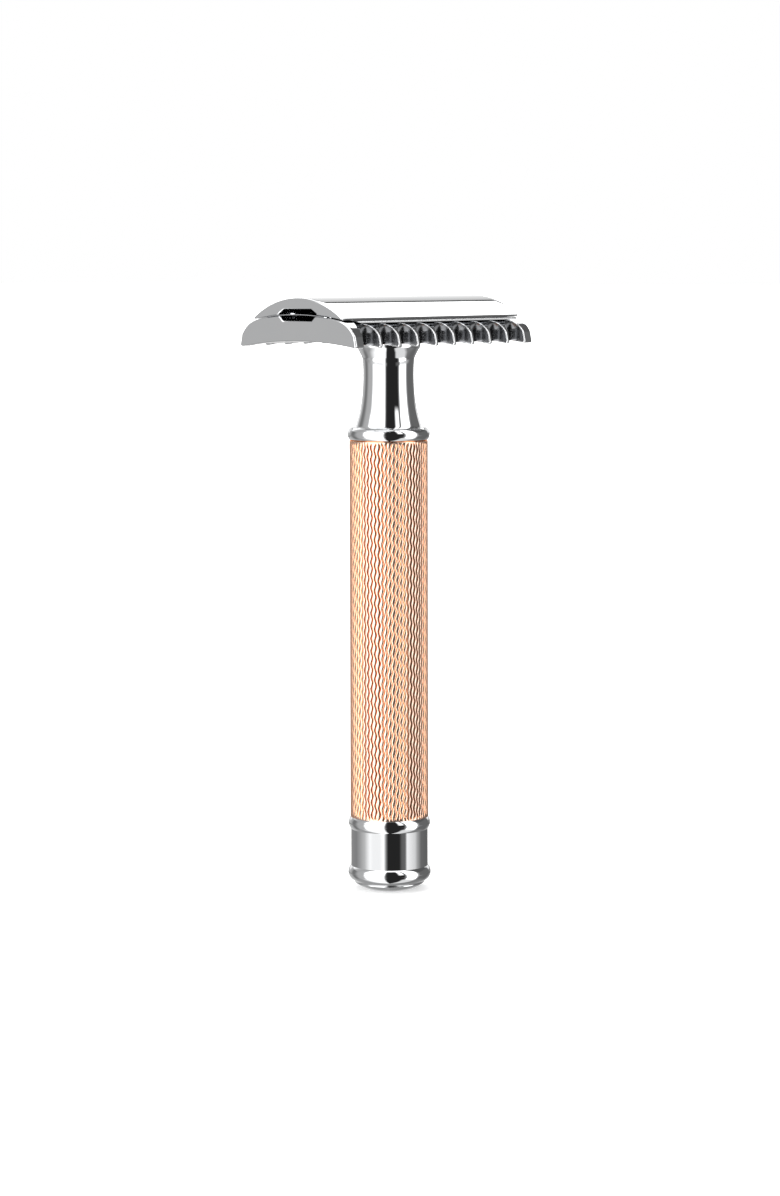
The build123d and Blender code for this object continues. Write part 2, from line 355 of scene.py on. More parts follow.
def blade_steel():
    """Rolled steel sheet with fine lines along the blade."""
    m = Nodes("blade_steel", (0.80, 0.81, 0.83), 1.0, 0.08)
    lines = m.noise(900, 3, m.stretched((0.02, 4, 1)))
    m.colour(m.mixed(lines, (0.74, 0.75, 0.77), (0.84, 0.85, 0.87)))
    m.roughness(m.ranged(lines, 0.06, 0.10))
    return m.material


chrome = polished_chrome()
# Its dark grey is painted shade for the comb's gaps, the channel under the blade and the cap's slot.
painted_recess_shade = recess_shade_chrome()
rose = rose_gold()
sheet_steel = blade_steel()
looks = {
    "chrome_plate": chrome,
    "rose_gold": rose,
    "blade_steel": sheet_steel,
    "bright_steel": turned_metal("screw_steel", (0.72, 0.72, 0.73), (0.62, 0.62, 0.63), 0.2),
    "zinc_steel": turned_metal("zinc_steel", (0.70, 0.72, 0.75), (0.60, 0.62, 0.66), 0.3),
    "brass": turned_metal("turned_brass", (0.83, 0.64, 0.32), (0.72, 0.54, 0.26), 0.22),
}
for row in frame["record"]["subparts"]:
    data = frame["nodes"][row["node"]].data
    data.materials.clear()
    data.materials.append(looks[row["material_slot"]])


# ---------------------------------------------------------------- turned pieces of the handle
def make_foot():
    """Low domed foot: a flat, a swelling dome, a rounded rim and the stem that enters the knob."""
    rim_top, radius = 1.15, FOOT[1].x
    stem, stem_top, chamfer = 4.28, FOOT[1].z, 0.2
    flat_end, dome_start, dome_middle = (3.65, 0), (4.08, 0.15), (4.85, 0.5)
    rim_start, rim_end = (radius - 0.04, 0.93), (radius - 0.03, rim_top - 0.03)
    profile = [(0, 0), flat_end]
    profile += arc(flat_end, (3.88, 0.05), dome_start, 4)
    profile += arc(dome_start, dome_middle, rim_start, 12)
    profile += arc(rim_start, (radius, 1.0), rim_end, 4)
    profile += [(radius - 0.06, rim_top), (stem, rim_top)]
    profile += [(stem, stem_top - chamfer), (stem - chamfer, stem_top), (0, stem_top)]
    make_piece("foot", *lathe(profile, False), chrome, "handle", ["end_plug"], "chrome_plate")


def make_knob():
    """Hollow knob: a step over the foot, the lower bead, a plain band, the upper bead and a spigot."""
    bottom, shoulder, top = KNOB[0].z, 11.55, KNOB[1].z
    band, low_bead, high_bead = 6.1, KNOB[1].x, 6.48
    pocket, pocket_top = 4.3, 6.2
    step = (5.62, bottom + 0.04)
    step_top = (5.66, 1.3)
    low_curve = arc((6.11, 1.62), (low_bead, 2.65), (band, 3.72), 24)
    high_curve = arc((band, 9.62), (high_bead, 10.62), (6.15, shoulder), 24)
    profile = [(pocket, bottom), (5.58, bottom), step]
    profile += rounded([step, step_top, low_curve[0], low_curve[1]], [0.06, 0.05], 3)[1:-1]
    profile += low_curve
    profile += [(band, 3.78), (band, 9.56)]
    profile += high_curve
    profile += [(SPIGOT_R, shoulder), (SPIGOT_R, top - SPIGOT_CHAMFER), (SPIGOT_R - SPIGOT_CHAMFER, top)]
    profile += [(ROD_BORE_R, top), (ROD_BORE_R, pocket_top), (pocket, pocket_top)]
    make_piece("knob", *lathe(profile, True), chrome, "handle", ["end_knob"], "chrome_plate")


def neck_curve():
    """The waisted neck as a smooth curve through its measured radii, by height."""
    known_z = [73.5, 74.6, 75.86, 77.12, 78.4, 79.8, 81.5, 83.0, 84.4]
    known_r = [5.24, 4.93, 4.565, 4.32, 4.15, 4.035, 3.97, 4.01, 4.13]
    fit = np.polynomial.Polynomial.fit(known_z, known_r, 5)
    heights = np.linspace(known_z[0], known_z[-1], 40)
    return [(float(fit(z)), float(z)) for z in heights]


def make_neck():
    """Upper end of the handle: spigot, collar bead, waisted neck and the lip under the comb plate."""
    bottom, shoulder, top = NECK[0].z, SLEEVE_TOP, NECK[1].z
    bead, lip, lip_edge = NECK[1].x, 5.05, 0.15
    rod_top, bush, bush_bottom = 75.5, 3.0, BUSH[0].z
    bead_start, bead_middle, bead_end = (5.97, shoulder), (bead, 72.5), (6.12, 73.35)
    flare_start, flare_middle, flare_end = (4.15, 84.45), (4.38, 84.95), (4.66, 85.5)
    curve = neck_curve()
    profile = [(ROD_BORE_R, bottom), (SPIGOT_R - SPIGOT_CHAMFER, bottom)]
    profile += [(SPIGOT_R, bottom + SPIGOT_CHAMFER), (SPIGOT_R, shoulder)]
    profile += arc(bead_start, bead_middle, bead_end, 28)
    profile += [(6.02, 73.44), (curve[0][0] + 0.04, 73.45)]
    profile += curve
    profile += arc(flare_start, flare_middle, flare_end, 12)
    profile += [(4.84, 85.8)]
    profile += arc((4.95, 85.97), (5.02, 86.1), (lip, 86.25), 5)
    profile += arc((lip, top - lip_edge), (lip - 0.04, top - 0.04), (lip - lip_edge, top), 4)
    profile += [(bush, top), (bush, bush_bottom), (ROD_BORE_R, bush_bottom), (ROD_BORE_R, rod_top)]
    make_piece("neck", *lathe(profile, True), chrome, "handle", ["neck_ferrule"], "chrome_plate", 30)


# ---------------------------------------------------------------- engine-turned sleeve
SLEEVE_BORE = 5.4
SLEEVE_RIM = 0.06
SLEEVE_PLAIN = 0.1
GROOVES = 60
GROOVE_WAVE = 2.0
GROOVE_SWAY = 0.137
GROOVE_STEP = 14 / 60
GROOVE_HALF = 0.165
GROOVE_DEPTH = 0.115
GROOVE_SHAPE = [(-1.0, 0.0), (-0.72, 0.26), (0.0, 1.0), (0.72, 0.26), (1.0, 0.0)]
ROWS_PER_WAVE = 8


def sleeve_ring(z, cut_depth):
    """One ring of vertices: for each groove its five points, then the middle of the land."""
    girth = math.tau * SLEEVE_R
    centres = [
        (k + 0.5) * girth / GROOVES
        + GROOVE_SWAY * math.sin(math.tau * (z / GROOVE_WAVE + k * GROOVE_STEP))
        for k in range(GROOVES)
    ]
    points = []
    for centre, following in zip(centres, centres[1:] + [centres[0] + girth]):
        for side, share in GROOVE_SHAPE:
            points.append((centre + side * GROOVE_HALF, SLEEVE_R - GROOVE_DEPTH * share * cut_depth))
        points.append(((centre + following) / 2, SLEEVE_R))
    return [(r * math.cos(s / SLEEVE_R), r * math.sin(s / SLEEVE_R), z) for s, r in points]


def plain_ring(z, radius):
    """The same vertices on a plain circle."""
    return [(radius * x / math.hypot(x, y), radius * y / math.hypot(x, y), z)
            for x, y, _ in sleeve_ring(z, 0)]


def make_sleeve():
    """Sixty wavy axial grooves, each a fraction of a wave out of step with the last."""
    length = SLEEVE_TOP - SLEEVE_BOTTOM - 2 * SLEEVE_PLAIN
    rows = round(length / GROOVE_WAVE * ROWS_PER_WAVE)
    heights = [SLEEVE_BOTTOM + SLEEVE_PLAIN + length * i / rows for i in range(rows + 1)]
    rim = SLEEVE_R - SLEEVE_RIM
    rings = [plain_ring(SLEEVE_BOTTOM, SLEEVE_BORE), plain_ring(SLEEVE_BOTTOM, rim)]
    rings += [plain_ring(SLEEVE_BOTTOM + SLEEVE_RIM, SLEEVE_R), sleeve_ring(heights[0], 0)]
    rings += [sleeve_ring(z, 1) for z in heights[1:-1]]
    rings += [sleeve_ring(heights[-1], 0), plain_ring(SLEEVE_TOP - SLEEVE_RIM, SLEEVE_R)]
    rings += [plain_ring(SLEEVE_TOP, rim), plain_ring(SLEEVE_TOP, SLEEVE_BORE)]
    vertices = [point for points in rings for point in points]
    count = len(rings[0])
    last = (len(rings) - 1) * count
    faces = grid_faces(len(rings), count, 0, True)
    for k in range(count):
        m = (k + 1) % count
        faces.append((last + k, last + m, m, k))
    make_piece("sleeve", vertices, faces, rose, "handle", ["grip_sleeve"], "rose_gold", 50)


# ---------------------------------------------------------------- comb plate
PLATE_HALF = PLATE[1].x
PLATE_END_SOFT = 0.25
TIP_Y = PLATE[1].y
TIP_Z = 86.4
CREASE = (11.65, 88.3)
SHOULDER_Y = 8.3
ARCH_Z = 87.4
CHANNEL_FLOOR = (2.95, 90.5)
CHANNEL_EDGE = (3.668, PLATE_TOP - 0.1367)
GAP_PITCH, GAP_COUNT, GAP_R = 4.35, 9, 1.85
GAP_ROOT_Y, GAP_SPRING_Z = 10.6, 88.3
CORNER_R = 0.3
EDGE_SOFT = 0.2
# Mesh steps of one comb cell: rim, wall, skin, and the outline's points up to corner, side and middle.
RIM_STEPS = 4
WALL_STEPS = 8
SKIN_STEPS = 3
CORNER_STEP = 5
SIDE_STEP = 10
QUARTER_STEPS = 22
# The cells reach this far past both ends of the gap, measured along the section.
CELL_MARGIN = 0.55
# A face gets painted shade where its middle lies this near the gap's wall, inside or outside, below this
# height.
SHADE_INSIDE, SHADE_OUTSIDE = 0.06, 0.006
SHADE_TOP = PLATE_TOP - 0.5
STUD_HOLE_R, PIN_HOLE_R = 2.8, 1.8
SEAT_R, SEAT_Z, SEAT_CHAMFER = 5.3, NECK[1].z, 0.1


def trimmed(points, corner, reach):
    """The points of a dense arc that lie further than reach from a corner."""
    return [p for p in points if math.dist(p, corner) > reach]


def half_section():
    """Right half of the plate's section, from the channel floor over the tip to the middle underneath."""
    shoulder = (SHOULDER_Y, CLAMP_CENTRE + math.sqrt(CLAMP_R**2 - SHOULDER_Y**2))
    lean = math.asin(SHOULDER_Y / CLAMP_R)
    inward = (-math.sin(lean), -math.cos(lean))
    run = (CREASE[0] - shoulder[0], CREASE[1] - shoulder[1])
    radius = (run[0]**2 + run[1]**2) / (2 * (run[0] * inward[0] + run[1] * inward[1]))
    centre = (shoulder[0] + radius * inward[0], shoulder[1] + radius * inward[1])
    middle_y = (shoulder[0] + CREASE[0]) / 2 + 0.3
    middle = (middle_y, centre[1] + math.sqrt(radius**2 - (middle_y - centre[0])**2))
    clamp_y = (CHANNEL_EDGE[0] + shoulder[0]) / 2
    clamp = (clamp_y, CLAMP_CENTRE + math.sqrt(CLAMP_R**2 - clamp_y**2))
    tip = (TIP_Y, TIP_Z)
    over = trimmed(arc(shoulder, middle, CREASE, 80), CREASE, 0.12)
    under = trimmed(arc(tip, (0, ARCH_Z), (-TIP_Y, TIP_Z), 400)[:201], tip, 0.42)
    corner = rounded([over[-1], CREASE, tip, under[0]], [CORNER_R, CORNER_R], 8)
    points = [(0, CHANNEL_FLOOR[1]), CHANNEL_FLOOR]
    points += arc(CHANNEL_EDGE, clamp, shoulder, 80) + over[1:] + corner[1:-1] + under
    return np.array(points)


class Section:
    """The half section by the distance gone along it, and the gap's half width there."""

    def __init__(self):
        self.points = half_section()
        steps = np.linalg.norm(np.diff(self.points, axis=0), axis=1)
        self.along = np.concatenate([[0], np.cumsum(steps)])
        self.total = self.along[-1]

    def at(self, s):
        """The section's (y, z) at a distance along it."""
        y = np.interp(s, self.along, self.points[:, 0])
        z = np.interp(s, self.along, self.points[:, 1])
        return y, z

    def skin(self, x, s):
        """The point of the plate's skin at a station x and a distance along the section."""
        y, z = self.at(s)
        return np.array([x, float(y), float(z)])

    def gap_room(self, s):
        """Square of the gap's half width; negative where there is no gap."""
        y, z = self.at(s)
        return GAP_R**2 - np.maximum(z - GAP_SPRING_Z, 0)**2 - np.maximum(GAP_ROOT_Y - y, 0)**2

    def distance_at_y(self, y):
        """Distance along at which the section passes a given y, on its upper side."""
        upper_points = 200
        return float(np.interp(y, self.points[:upper_points, 0], self.along[:upper_points]))


def gap_outline(section, per_quarter):
    """One side of a gap's outline on the plate's skin: (x, s) from the upper root to the lower root."""
    s = np.linspace(section.distance_at_y(SHOULDER_Y), section.total, 20001)
    open_part = s[section.gap_room(s) > 0]
    first, last = open_part[0], open_part[-1]
    tip_s = s[np.argmax(section.at(s)[0])]
    t = np.linspace(0, math.pi, 4001)
    fine = (first + last) / 2 - (last - first) / 2 * np.cos(t)
    x = np.sqrt(np.maximum(section.gap_room(fine), 0))
    x[0] = x[-1] = 0
    gone = np.concatenate([[0], np.cumsum(np.hypot(np.diff(x), np.diff(fine)))])
    tip_gone = float(np.interp(tip_s, fine, gone))
    marks = np.concatenate([
        np.linspace(0, tip_gone, per_quarter + 1),
        np.linspace(tip_gone, gone[-1], per_quarter + 1)[1:],
    ])
    return np.interp(marks, gone, x), np.interp(marks, gone, fine)


def gap_core(p):
    """The point nearest to p of the upright quarter-plane that the gap is rounded off about."""
    return np.array([0, max(p[1], GAP_ROOT_Y), min(p[2], GAP_SPRING_Z)])


def on_gap_wall(p):
    """The point nearest to p of the gap's wall, which stands GAP_R off its core."""
    core = gap_core(p)
    away = p - core
    return core + away * GAP_R / np.linalg.norm(away)


def patch(grid, faces, vertices):
    """Adds a grid of points as quads; equal points merge later."""
    rows, columns = len(grid), len(grid[0])
    start = len(vertices)
    for row in grid:
        vertices.extend(row)
    faces.extend(grid_faces(rows, columns, start))


def cell_border(i, edge, side):
    """Where the skin's line from outline point i meets the cell's border.

    The first lines end on the border's edge and the next on its side. The rest run straight to the
    side at their own distance along, which the caller knows, so they get None.
    """
    half = GAP_PITCH / 2
    if i <= CORNER_STEP:
        return half * i / CORNER_STEP, edge
    if i < SIDE_STEP:
        return half, edge + (side - edge) * (i - CORNER_STEP) / (SIDE_STEP - CORNER_STEP)
    return half, None


def gap_rim(section, x, s, i, first):
    """The rounded edge at outline point i: a Bezier from the skin's first point into the gap."""
    count = len(x) - 1
    edge = section.skin(x[i], s[i])
    before, after = max(i - 1, 0), min(i + 1, count)
    run = section.skin(x[after], s[after]) - section.skin(x[before], s[before])
    if i in (0, count):
        run = np.array([1.0, 0, 0])
    inward = np.cross(run, edge - gap_core(edge))
    inward /= np.linalg.norm(inward)
    plate_middle = np.array([0, GAP_ROOT_Y, ARCH_Z])
    if np.dot(inward, plate_middle - edge) < 0:
        inward = -inward
    inside = on_gap_wall(edge + EDGE_SOFT * inward)
    shares = [k / RIM_STEPS for k in range(RIM_STEPS + 1)]
    return [(1 - t)**2 * first + 2 * t * (1 - t) * edge + t * t * inside for t in shares]


def gap_wall(top, bottom):
    """Points down the gap's wall between two rim points."""
    middle = [on_gap_wall(top + (bottom - top) * k / WALL_STEPS) for k in range(1, WALL_STEPS)]
    return [top, *middle, bottom]


def gap_cell(section):
    """Skin, rounded rim and wall of one comb cell centred on x = 0, +Y side, as grids of points."""
    x, s = gap_outline(section, QUARTER_STEPS)
    count = len(x) - 1
    run_x, run_s = np.gradient(x), np.gradient(s)
    run_x[0], run_s[0] = 1, 0
    run_x[-1], run_s[-1] = -1, 0
    size = np.hypot(run_x, run_s)
    rim_x = x + EDGE_SOFT * run_s / size
    rim_s = s - EDGE_SOFT * run_x / size
    upper, lower = s[0] - CELL_MARGIN, s[-1] + CELL_MARGIN
    skins, rims, side = [], [], []
    for i in range(count + 1):
        if i > QUARTER_STEPS:
            border_x, border_s = cell_border(count - i, lower, rim_s[count - SIDE_STEP])
        else:
            border_x, border_s = cell_border(i, upper, rim_s[SIDE_STEP])
        if border_s is None:
            border_s = rim_s[i]
        if abs(border_x - GAP_PITCH / 2) < 1e-9:
            side.append(border_s)
        shares = [k / SKIN_STEPS for k in range(SKIN_STEPS + 1)]
        skins.append([
            section.skin(rim_x[i] + (border_x - rim_x[i]) * t, rim_s[i] + (border_s - rim_s[i]) * t)
            for t in shares
        ])
        rims.append(gap_rim(section, x, s, i, skins[-1][0]))
    walls = [
        gap_wall(rims[QUARTER_STEPS - k][-1], rims[QUARTER_STEPS + k][-1])
        for k in range(QUARTER_STEPS + 1)
    ]
    return (skins, rims, walls), side, upper, lower


def make_plate():
    """Open comb plate: cells with rounded gaps, plain sheets between them, rounded ends, seat and holes."""
    section = Section()
    grids, side, upper, lower = gap_cell(section)
    vertices, faces = [], []
    half_cell = GAP_PITCH / 2
    centres = [(i - (GAP_COUNT - 1) / 2) * GAP_PITCH for i in range(GAP_COUNT)]
    for centre in centres:
        for sx in (-1, 1):
            for sy in (-1, 1):
                for grid in grids:
                    moved = [[(centre + sx * p[0], sy * p[1], p[2]) for p in row] for row in grid]
                    patch(moved, faces, vertices)
    columns = sorted({round(c + half_cell * i / CORNER_STEP, 6)
                      for c in centres for i in range(-CORNER_STEP, CORNER_STEP + 1)})
    floor_s = section.distance_at_y(CHANNEL_FLOOR[0])
    edge_s = floor_s + math.dist(CHANNEL_FLOOR, CHANNEL_EDGE)
    over = [0, floor_s / 2, floor_s, *np.linspace(edge_s, upper, 14)]
    under = list(np.linspace(lower, section.total, 18))
    for distances in (over, under):
        points = [section.at(s) for s in distances]
        for sign in (-1, 1):
            grid = [[(x, sign * float(y), float(z)) for x in columns] for y, z in points]
            patch(grid, faces, vertices)
    ring = [(float(y), float(z)) for y, z in (section.at(s) for s in over + side[1:-1] + under)]
    ring += [(-y, z) for y, z in reversed(ring[1:-1])]
    make_ends(ring, centres[-1] + half_cell, PLATE_HALF, PLATE_END_SOFT, faces, vertices)
    piece = make_piece("comb_plate_polished", vertices, faces, chrome, "guard", ["comb_plate"],
                       "chrome_plate", 40)
    seat = [(0, ARCH_Z + 1), (SEAT_R, ARCH_Z + 1), (SEAT_R, SEAT_Z + SEAT_CHAMFER)]
    seat += [(SEAT_R - SEAT_CHAMFER, SEAT_Z), (0, SEAT_Z)]
    cut(piece, helper_turned(0, seat, 96), "UNION")
    cut(piece, helper_cylinder(0, STUD_HOLE_R, SEAT_Z - 1, PLATE_TOP + 1))
    for x in (-PIN_X, PIN_X):
        cut(piece, helper_cylinder(x, PIN_HOLE_R, SEAT_Z - 1, PLATE_TOP + 1, 48))

    def gets_painted_shade(x, y, z):
        """Whether a point gets painted shade: on a gap's wall or in the channel under the blade."""
        from_centre = min((x - centre for centre in centres), key=abs)
        reach = math.hypot(from_centre, max(GAP_ROOT_Y - abs(y), 0), max(z - GAP_SPRING_Z, 0))
        in_gap = -SHADE_INSIDE < reach - GAP_R < SHADE_OUTSIDE and z < SHADE_TOP
        in_channel = abs(y) < CHANNEL_EDGE[0] and z > CHANNEL_FLOOR[1] - 0.01
        return in_gap or (in_channel and abs(x) < SHADE_HALF_LENGTH)

    # Paints shade on the gap walls and in the channel under the blade.
    paint_shade_faces(piece, gets_painted_shade)
    smooth(piece, 40, True)


def paint_shade_faces(piece, gets_painted_shade):
    """Gives the darker chrome of painted shade to the faces whose middle, in millimetres, passes a test."""
    piece.data.materials.append(painted_recess_shade)
    for face in piece.data.polygons:
        if gets_painted_shade(*(face.center / MM)):
            face.material_index = 1


def inset_ring(ring, depth):
    """A closed (y, z) outline moved inwards by a depth, corner by corner."""
    points = np.array(ring)
    before, after = np.roll(points, 1, axis=0), np.roll(points, -1, axis=0)
    first, second = points - before, after - points
    first /= np.linalg.norm(first, axis=1)[:, None]
    second /= np.linalg.norm(second, axis=1)[:, None]
    normals = np.stack([-(first + second)[:, 1], (first + second)[:, 0]], axis=1)
    area = np.sum(points[:, 0] * after[:, 1] - points[:, 1] * after[:, 0])
    if area < 0:
        normals = -normals
    length = np.linalg.norm(normals, axis=1)
    return points + normals / length[:, None] * (depth * 2 / length)[:, None]


def make_ends(ring, start, end, soft, faces, vertices):
    """Both ends of a prism along X: a short run, a rounded rim and a flat face."""
    for sign in (-1, 1):
        rings = []
        for x in np.linspace(start, end - soft, 4):
            rings.append([(sign * x, y, z) for y, z in ring])
        for k in range(1, END_STEPS + 1):
            a = math.pi / 2 * k / END_STEPS
            inner = inset_ring(ring, soft * (1 - math.cos(a)))
            rings.append([(sign * (end - soft + soft * math.sin(a)), y, z) for y, z in inner])
        base = len(vertices)
        for points in rings:
            vertices.extend(points)
        faces.extend(grid_faces(len(rings), len(ring), base, True))
        last = base + (len(rings) - 1) * len(ring)
        faces.append(tuple(range(last, last + len(ring))))


# ---------------------------------------------------------------- cap and blade
# Corners of the slot in the cap's underside, and the gap between the cap's underside and the blade's.
CAP_ROOF = (2.8, 92.27)
CAP_HAUNCH = (3.85, 91.6)
CAP_LIFT = 0.15


def arc_z(radius, y):
    """Height of a surface concentric with the clamped blade."""
    return CLAMP_CENTRE + math.sqrt(radius**2 - y**2)


def cap_edge(sweep, centre, under, half):
    """Distance from the middle at which the dome comes down to the clamping face, by halving."""
    low, high = 0.0, half
    for _ in range(40):
        y = (low + high) / 2
        if centre + math.sqrt(sweep**2 - y**2) > arc_z(under, y) + 0.004:
            low = y
        else:
            high = y
    return low


def cap_outline(inset):
    """Closed (y, z) section of the cap, moved inwards by an inset."""
    half, edge_z, top = CAP[1].y, 90.97, CAP[1].z
    sweep = (half**2 + (top - edge_z)**2) / (2 * (top - edge_z))
    centre = top - sweep
    roof = (CAP_ROOF[0], CAP_ROOF[1] + inset)
    haunch = (CAP_HAUNCH[0] + 0.7 * inset, CAP_HAUNCH[1] + 0.5 * inset)
    under = CLAMP_R + CAP_LIFT + inset
    dome = sweep - inset
    edge = cap_edge(dome, centre, under, half - inset)
    rise = math.asin(edge / dome)
    angles = [rise * (1 - k / 32) for k in range(65)]
    points = [(dome * math.sin(a), centre + dome * math.cos(a)) for a in angles]
    left = [(-y, arc_z(under, y)) for y in np.linspace(edge, haunch[0], 10)]
    left += [(-haunch[0], haunch[1]), (-roof[0], roof[1])]
    return points + left + [(-y, z) for y, z in reversed(left)]


def make_cap():
    """The domed bar with its two locating pins; its ends have soft bright rims."""
    half_length, soft, core_r, core_bottom = CAP[1].x, 0.2, 2.5, 90
    turns = [math.pi / 2 * k / END_STEPS for k in range(END_STEPS, 0, -1)]
    rim = [(-half_length + soft * (1 - math.sin(a)), soft * (1 - math.cos(a))) for a in turns]
    stations = rim + [(x, 0.0) for x in np.linspace(-half_length + soft, half_length - soft, 45)]
    stations += [(-x, inset) for x, inset in reversed(rim)]
    vertices = [(x, y, z) for x, inset in stations for y, z in cap_outline(inset)]
    count = len(cap_outline(0))
    faces = grid_faces(len(stations), count, 0, True)
    faces.append(tuple(range(count)))
    faces.append(tuple(range(len(vertices) - count, len(vertices))))
    piece = make_piece("cap_polished", vertices, faces, chrome, "cap", ["top_cap"], "chrome_plate", 30)
    cut(piece, helper_cylinder(0, core_r, core_bottom, STUD[1].z))
    pin_r, pin_low, pin_top = 1.5, CAP[0].z, 92.6
    pin = [(0, pin_low), (pin_r - 0.35, pin_low), (pin_r - 0.08, pin_low + 0.2), (pin_r, pin_low + 0.5)]
    pin += [(pin_r, pin_top), (0, pin_top)]
    for x in (-PIN_X, PIN_X):
        cut(piece, helper_turned(x, pin, 48), "UNION")

    def gets_painted_shade(x, y, z):
        """Whether a point gets painted shade: in the slot of the cap's underside."""
        in_slot = abs(y) < CAP_HAUNCH[0] and CAP_HAUNCH[1] < z < CAP_ROOF[1] + 0.01
        return in_slot and abs(x) < SHADE_HALF_LENGTH

    # Paints shade in the slot of the cap's underside.
    paint_shade_faces(piece, gets_painted_shade)
    smooth(piece, 30, True)


def make_blade():
    """A thin bent sheet with tabs, slot and holes; both long edges are honed to a wedge."""
    half, body, full = BLADE[1].y, 18.65, BLADE[1].x
    low_r, high_r = CLAMP_R + 0.025, CLAMP_R + 0.125
    edge_z = arc_z((low_r + high_r) / 2, half)
    honed, spare = 0.75, 0.5
    across = list(np.linspace(-half + honed, half - honed, 41))
    section = [(-half, edge_z)]
    section += [(y, arc_z(low_r, y)) for y in across]
    section += [(half, edge_z)]
    section += [(y, arc_z(high_r, y)) for y in reversed(across)]
    stations = [-full - spare, -full + 6, -6, 6, full - 6, full + spare]
    vertices = [(x, y, z) for x in stations for y, z in section]
    faces = grid_faces(len(stations), len(section), 0, True)
    faces.append(tuple(range(len(section))))
    faces.append(tuple(range(len(vertices) - len(section), len(vertices))))
    piece = make_piece("blade_sheet", vertices, faces, sheet_steel, "blade", ["blade"], "blade_steel", 20)
    cut(piece, prism(blade_plan(half, body, full), BLADE_BELOW, BLADE_ABOVE), "INTERSECT")
    cut(piece, prism(blade_slot(), BLADE_BELOW, BLADE_ABOVE))
    centre_hole, pin_hole = 3.2, 2.1
    cut(piece, helper_cylinder(0, centre_hole, BLADE_BELOW, BLADE_ABOVE, 64))
    for x in (-PIN_X, PIN_X):
        cut(piece, helper_cylinder(x, pin_hole, BLADE_BELOW, BLADE_ABOVE, 48))
    smooth(piece, 20)


def blade_plan(half, body, full):
    """The blade's outline seen from above: a body and a narrower tab with round corners at each end."""
    tab, corner = 6.5, 0.8
    corner_middle = (full - 0.29 * corner, tab - 0.29 * corner)
    quarter = [(body, half + 1), (body, tab)]
    quarter += arc((full - corner, tab), corner_middle, (full, tab - corner), 6)
    right_side = quarter + [(x, -y) for x, y in reversed(quarter)]
    return right_side + [(-x, -y) for x, y in right_side]


def blade_slot():
    """The long slot with round ends."""
    half_length, radius = 15.2, 1.3
    angles = np.linspace(-1.5708, 1.5708, 17)
    slot = [(half_length + radius * math.cos(a), radius * math.sin(a)) for a in angles]
    return slot + [(-x, -y) for x, y in slot]


make_foot()
make_knob()
make_neck()
make_sleeve()
make_plate()
make_cap()
make_blade()

# ---------------------------------------------------------------- camera
CAMERA_DISTANCE = 532.7 * MM
CAMERA_HEIGHT = 100.8 * MM
CAMERA_SIDE = 0.28 * MM
CAMERA_AZIMUTH = math.radians(-49.0)
CAMERA_PITCH = math.radians(5.83)
CAMERA_ROLL = math.radians(0.12)
CAMERA_LENS = 101.8


def make_camera():
    """A long lens a little above the head, looking down at the object's corner."""
    data = bpy.data.cameras.new("camera")
    data.lens = CAMERA_LENS
    data.sensor_width = 36
    data.clip_start = 0.01
    camera = bpy.data.objects.new("camera", data)
    bpy.context.scene.collection.objects.link(camera)
    right = Vector((math.cos(CAMERA_AZIMUTH), math.sin(CAMERA_AZIMUTH), 0))
    back = Vector((math.sin(CAMERA_AZIMUTH), -math.cos(CAMERA_AZIMUTH), 0))
    camera.location = back * CAMERA_DISTANCE + right * CAMERA_SIDE + Vector((0, 0, CAMERA_HEIGHT))
    camera.rotation_euler = (math.radians(90) - CAMERA_PITCH, CAMERA_ROLL, CAMERA_AZIMUTH)
    bpy.context.scene.camera = camera


# ---------------------------------------------------------------- floor and studio
def make_floor():
    """A pale floor with a painted glow that brightens it to plain white away from the object."""
    size = 8.0
    mesh = bpy.data.meshes.new("floor")
    corners = [(-size, -size, 0), (size, -size, 0), (size, size, 0), (-size, size, 0)]
    mesh.from_pydata(corners, [], [(0, 1, 2, 3)])
    floor = bpy.data.objects.new("floor", mesh)
    bpy.context.scene.collection.objects.link(floor)
    m = Nodes("pale_floor", (0.9, 0.9, 0.9), 0.0, 0.7)
    distance = m.add("ShaderNodeVectorMath", operation="LENGTH")
    near, far = 0.02, 0.3
    m.link(m.place, distance.inputs[0])
    # Painted glow: emission rises with distance from the object, so the floor is darker near it and plain
    # white far off.
    glow = m.ranged(distance.outputs["Value"], 0.30, 1.0, near, far)
    m.shader.inputs["Emission Color"].default_value = (1, 1, 1, 1)
    m.link(glow, m.shader.inputs["Emission Strength"])
    mesh.materials.append(m.material)
    floor.visible_glossy = False


